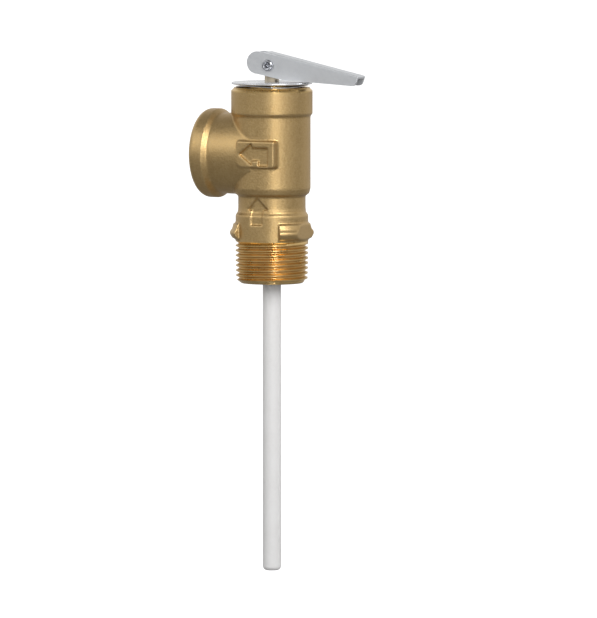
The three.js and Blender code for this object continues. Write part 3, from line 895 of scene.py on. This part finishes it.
# Stem and disc
stemSizes = {"radius": 2.5, "flats": 70.2, "tangLow": 69.2, "tangX": 2.2, "tangY": 1.45, "crown": 2.3,
             "bevel": 0.18, "pinHeight": 79.55, "pinHole": 1.7}
discSizes = {
    "holder": 10, "skirt": 9, "roof": 36.6, "flange": 41, "boss": 4.5, "stemHole": 2.8, "stemFloor": 40.4,
    "screwHole": 1.8, "screwRoof": 39.4, "screwShank": 1.5, "headHigh": 32.7, "headChamfer": 0.3,
    "neck": 0.1,
    "slot": 0.4, "slotReach": 4, "slotDepth": 0.7, "threadPitch": 0.5, "threadDepth": 0.22, "point": 0.4,
}


def breakEdges(piece, width, steps=2, angle=40):
    bevel = piece.modifiers.new("edges", "BEVEL")
    bevel.width, bevel.segments = width, steps
    bevel.limit_method, bevel.angle_limit = "ANGLE", math.radians(angle)
    return settle(piece)


def crossPin(radius, reach):
    pin = turned("cross", [(0, -reach), (radius, -reach), (radius, reach), (0, reach)], 40)
    return turnPiece(pin, "X", 90, (0, 0, stemSizes["pinHeight"]))


def makeStem():
    t = stemSizes
    low = corners("stem")[0]
    shank = turned("stem_turned", softened([
        (0, low.z), (t["radius"], low.z, 0.3), (t["radius"], t["flats"], 0.2), (0, t["flats"]),
    ]), 64)
    crown = arcPoints((0, t["pinHeight"]), 1, 0, 180, 20)
    side = [(-t["tangX"], t["tangLow"]), (t["tangX"], t["tangLow"])]
    side += [(x * t["tangX"], t["pinHeight"] + (z - t["pinHeight"]) * t["crown"]) for x, z in crown]
    tang = plate("tang", side, -t["tangY"], t["tangY"])
    combine(shank, tang, "UNION")
    combine(shank, crossPin(t["pinHole"], 4))
    place(breakEdges(shank, t["bevel"]), "stem", "lift_stack", stemBrass)


def makeDiscHolder():
    d = discSizes
    low, high = corners("disc_holder")
    outline = softened([
        (0, d["screwRoof"]), (d["screwHole"], d["screwRoof"]), (d["screwHole"], d["roof"]),
        (d["skirt"], d["roof"], 0.3),
        (d["skirt"], low.z, 0.15), (d["holder"], low.z, 0.25), (d["holder"], d["flange"], 0.4),
        (d["boss"], d["flange"], 0.4), (d["boss"], high.z, 0.3), (d["stemHole"], high.z, 0.15),
        (d["stemHole"], d["stemFloor"]), (0, d["stemFloor"]),
    ])
    holder = turned("disc_holder_turned", outline, 112)
    place(holder, "disc_holder", "lift_stack", machinedBrass)


def makeDiscScrew():
    # a slotted cheese head over a fine thread
    d = discSizes
    low, high = corners("disc_screw")
    shank = d["screwShank"]
    outline = [(0, low.z), (high.x - d["headChamfer"], low.z), (high.x, low.z + d["headChamfer"]),
               (high.x, d["headHigh"]), (shank - d["neck"], d["headHigh"])]
    turns = int((high.z - d["headHigh"]) / d["threadPitch"])
    for turn in range(turns):
        start = d["headHigh"] + (turn + 0.2) * d["threadPitch"]
        outline += [(shank - d["threadDepth"], start), (shank, start + 0.5 * d["threadPitch"])]
    outline += [(shank - d["point"], high.z), (0, high.z)]
    screw = turned("disc_screw_cut", outline, 40)
    reach, top = d["slotReach"], low.z + d["slotDepth"]
    groove = [(-reach, low.z - 1), (reach, low.z - 1), (reach, top), (-reach, top)]
    combine(screw, plate("slot", groove, -d["slot"], d["slot"]))
    place(screw, "disc_screw", "lift_stack", machinedBrass)


def makeSeat():
    low, high = corners("seat_disc")
    seat = ring("seat_disc_moulded", discSizes["screwHole"], high.x, low.z, high.z, 0.35)
    place(seat, "seat_disc", "lift_stack", silicone)
    low, high = corners("disc_washer")
    washer = ring("disc_washer_pressed", discSizes["screwHole"], high.x, low.z, high.z, 0.2)
    place(washer, "disc_washer", "lift_stack", platedSteel)


makeStem()
makeDiscHolder()
makeDiscScrew()
makeSeat()
print("stem and disc made")

# Test lever and its rivet
leverSizes = {
    "half": 3.3, "wall": 1.2, "heelX": -4.5, "heelZ": 80.45, "heelRadius": 4.1, "webStart": -1.4,
    "webTop": 84.5,
    "bendX": 3.3, "bendZ": 83.5, "noseX": 36.4, "noseTop": 76.25, "noseLowX": 34.9, "noseLow": 72.6,
    "kneeX": 7.5, "kneeZ": 74.0, "underX": 17, "underZ": 73.65, "overlap": 1.4, "fold": 1.15,
    "foldBand": 0.9,
    "edge": 0.14, "broad": 2.5, "behind": -12, "below": 60, "above": 95, "past": 4, "pastDrop": 0.8,
}
rivetSizes = {"shank": 1.4, "head": 2.15, "relief": 0.05, "bore": 0.75, "mouth": 1.25, "lip": 1.7,
              "crown": 1.2, "reach": 3.55, "rise": 0.95, "boreDepth": 2.2, "mouthDepth": 0.9}


def underEar(x):
    # the height of the straight underside between heel and knee
    l = leverSizes
    foot = l["heelZ"] - l["heelRadius"]
    slope = (l["kneeZ"] - foot) / (l["kneeX"] - l["heelX"])
    return foot + (x - l["heelX"]) * slope


def leverSide():
    # the folded part, from the web's rear edge to the nose
    l = leverSizes
    return softened([
        (l["webStart"], underEar(l["webStart"])), (l["kneeX"], l["kneeZ"], 1.5),
        (l["underX"], l["underZ"], 6),
        (l["noseLowX"], l["noseLow"], 1.6), (l["noseX"], l["noseTop"], 0.5), (l["bendX"], l["bendZ"], 3),
        (l["webStart"], l["webTop"]),
    ])


def heelSide():
    # the free ear behind the web, running a little way into the folded part
    l = leverSizes
    inside = l["webStart"] + l["overlap"]
    return arcPoints((l["heelX"], l["heelZ"]), l["heelRadius"], 90, 270, 32) + [
        (inside, underEar(inside)), (inside, l["webTop"] - 2), (l["webStart"], l["webTop"] - 0.3)]


def foldEdges(piece):
    # rounds the two long folds between web and cheeks
    l = leverSizes
    bm = bmesh.new()
    bm.from_mesh(piece.data)
    slope = (l["noseTop"] - l["bendZ"]) / (l["noseX"] - l["bendX"])
    folds = []
    for edge in bm.edges:
        a, b = (vertex.co for vertex in edge.verts)
        isCross = abs(a.y - b.y) > 0.01
        isRear = abs(a.x - b.x) < 0.001 and a.x < 0
        middle = (a + b) / 2
        webAt = l["bendZ"] + slope * max(middle.x - l["bendX"], 0)
        if not isCross and not isRear and middle.z > webAt - l["foldBand"]:
            folds.append(edge)
    bmesh.ops.bevel(bm, geom=folds, offset=l["fold"], offset_type="OFFSET", segments=6, profile=0.5,
                    affect="EDGES", clamp_overlap=True)
    bm.to_mesh(piece.data)
    bm.free()
    return piece


def makeLever():
    l = leverSizes
    lever = foldEdges(plate("lever_stamped", leverSide(), -l["half"], l["half"]))
    inner = l["half"] - l["wall"]
    for sign in (-1, 1):
        low, high = sorted((sign * inner, sign * l["half"]))
        combine(lever, plate("cheek", heelSide(), low, high), "UNION")
    end = l["noseX"] + l["past"]
    channel = softened([
        (l["behind"], l["below"]), (end, l["below"]), (end, l["noseTop"] - l["wall"] - l["pastDrop"]),
        (l["bendX"], l["bendZ"] - l["wall"], 2), (l["webStart"], l["webTop"] - l["wall"]),
        (l["webStart"], l["above"]), (l["behind"], l["above"]),
    ])
    combine(lever, plate("channel", channel, -inner, inner))
    combine(lever, crossPin(stemSizes["pinHole"], 8))
    lever = breakEdges(lever, l["edge"], 2, 55)
    lever = place(lever, "lever", "test_lever", platedSteel, 30)
    for face in lever.data.polygons:
        # the broad cheeks stay flat beside their rounded edges
        if face.area > l["broad"] * mm * mm:
            face.use_smooth = False


def makeRivet():
    # one end is headed, the other rolled over round its hollow
    r = rivetSizes
    top, under = r["reach"] + r["rise"], r["head"] - r["relief"]
    outline = softened([
        (0, -top), (r["crown"], -top, 0.3), (r["head"], -top + 0.45, 0.4), (under, -r["reach"], 0.1),
        (r["shank"], -r["reach"]), (r["shank"], r["reach"]), (under, r["reach"], 0.1),
        (r["head"], top - 0.5, 0.45), (r["lip"], top, 0.35), (r["mouth"], top - 0.12, 0.3),
        (r["bore"], top - r["mouthDepth"], 0.3), (r["bore"], top - r["boreDepth"]),
        (0, top - r["boreDepth"]),
    ])
    rivet = turnPiece(turned("lever_rivet", outline, 48), "X", 90, (0, 0, stemSizes["pinHeight"]))
    place(rivet, "lever_pin", "test_lever", rivetSteel, 50)


makeLever()
makeRivet()
print("lever made")

# Thermostat
thermostat = {
    "carrierRim": 7.8, "carrierHub": 5.2, "carrierHole": 3.9, "armHalf": 1.2, "arms": 3, "armInset": 0.1,
    "ringInner": 8.4, "ringMouth": 0.5, "headRadius": 3.6, "headFlangeLow": 23, "headBore": 2.95,
    "headHole": 1.2,
    "headBoreTop": 20.9,
    "sheathInner": 2.95, "sheathFloor": 0.9, "sheathTip": 2.2, "tubeInner": 2.15, "tubeFloor": 0.5,
    "tubeTip": 0.8,
    "rodFoot": 1.75, "rodFootTop": 9.6, "rodShank": 0.9,
}


def blindTube(name, node, inner, floor, tip, lip):
    # closed and rounded at its lower end
    low, high = corners(node)
    r = high.x
    outline = softened([
        (0, low.z), (r, low.z, tip), (r, high.z, lip), (inner, high.z, lip),
        (inner, low.z + floor, tip * 0.6),
        (0, low.z + floor),
    ], steps=8)
    return turned(name, outline, 64)


def makeCarrier():
    t = thermostat
    low, high = corners("element_carrier")
    carrier = ring("element_carrier_cut", t["carrierRim"], high.x, low.z, high.z, 0.15)
    start, end, half = t["carrierHub"] - 0.6, t["carrierRim"] + 0.5, t["armHalf"]
    for index in range(t["arms"]):
        span = [(start, -half), (end, -half), (end, half), (start, half)]
        arm = plate("arm", span, low.z + t["armInset"], high.z - t["armInset"], "XY")
        combine(carrier, turnPiece(arm, "Z", 360 * index / t["arms"]), "UNION")
    combine(carrier, ring("hub", t["carrierHole"], t["carrierHub"], low.z, high.z, 0.15), "UNION")
    place(carrier, "element_carrier", "housing", machinedBrass)


def makeRetainingRing():
    t = thermostat
    low, high = corners("retaining_ring")
    outline = ringOutline(t["ringInner"], high.y, low.z, high.z, 0.2)
    mouth = math.degrees(t["ringMouth"])
    snap = turned("retaining_ring_snap", outline, 96, 360 - mouth, closed=True)
    place(turnPiece(snap, "Z", mouth / 2), "retaining_ring", "housing", springSteel)


def makeHead():
    t = thermostat
    low, high = corners("element_head")
    outline = softened([
        (t["headBore"], low.z, 0.1), (t["headRadius"], low.z, 0.2),
        (t["headRadius"], t["headFlangeLow"], 0.2),
        (high.x, t["headFlangeLow"], 0.2), (high.x, high.z, 0.25), (t["headHole"], high.z, 0.15),
        (t["headHole"], t["headBoreTop"]), (t["headBore"], t["headBoreTop"]),
    ], True)
    head = turned("element_head_turned", outline, 72, closed=True)
    place(head, "element_head", "housing", machinedBrass)


def makeProbe():
    t = thermostat
    sheath = blindTube(
        "probe_sheath_coated", "probe_sheath", t["sheathInner"], t["sheathFloor"], t["sheathTip"], 0.15)
    place(sheath, "probe_sheath", "housing", whiteCoating, 60)
    tube = blindTube("probe_tube_drawn", "probe_tube", t["tubeInner"], t["tubeFloor"], t["tubeTip"], 0.1)
    place(tube, "probe_tube", "housing", copper, 60)
    for node, name, slotName, finish in (("wax_charge", "wax_charge_cast", "wax", waxFill),
                                         ("rod_seal", "rod_seal_moulded", "black_rubber", blackRubber)):
        low, high = corners(node)
        place(disc(name, high.x, low.z, high.z, 0.25), node, "housing", finish)


def makeRod():
    t = thermostat
    low, high = corners("thrust_rod")
    outline = softened([
        (0, low.z), (t["rodFoot"], low.z, 0.15), (t["rodFoot"], t["rodFootTop"], 0.15),
        (t["rodShank"], t["rodFootTop"], 0.1), (t["rodShank"], high.z, 0.5), (0, high.z),
    ])
    rod = turned("thrust_rod_turned", outline, 40)
    place(rod, "thrust_rod", "thermostat_rod", machinedBrass)


makeCarrier()
makeRetainingRing()
makeHead()
makeProbe()
makeRod()
print("thermostat made")
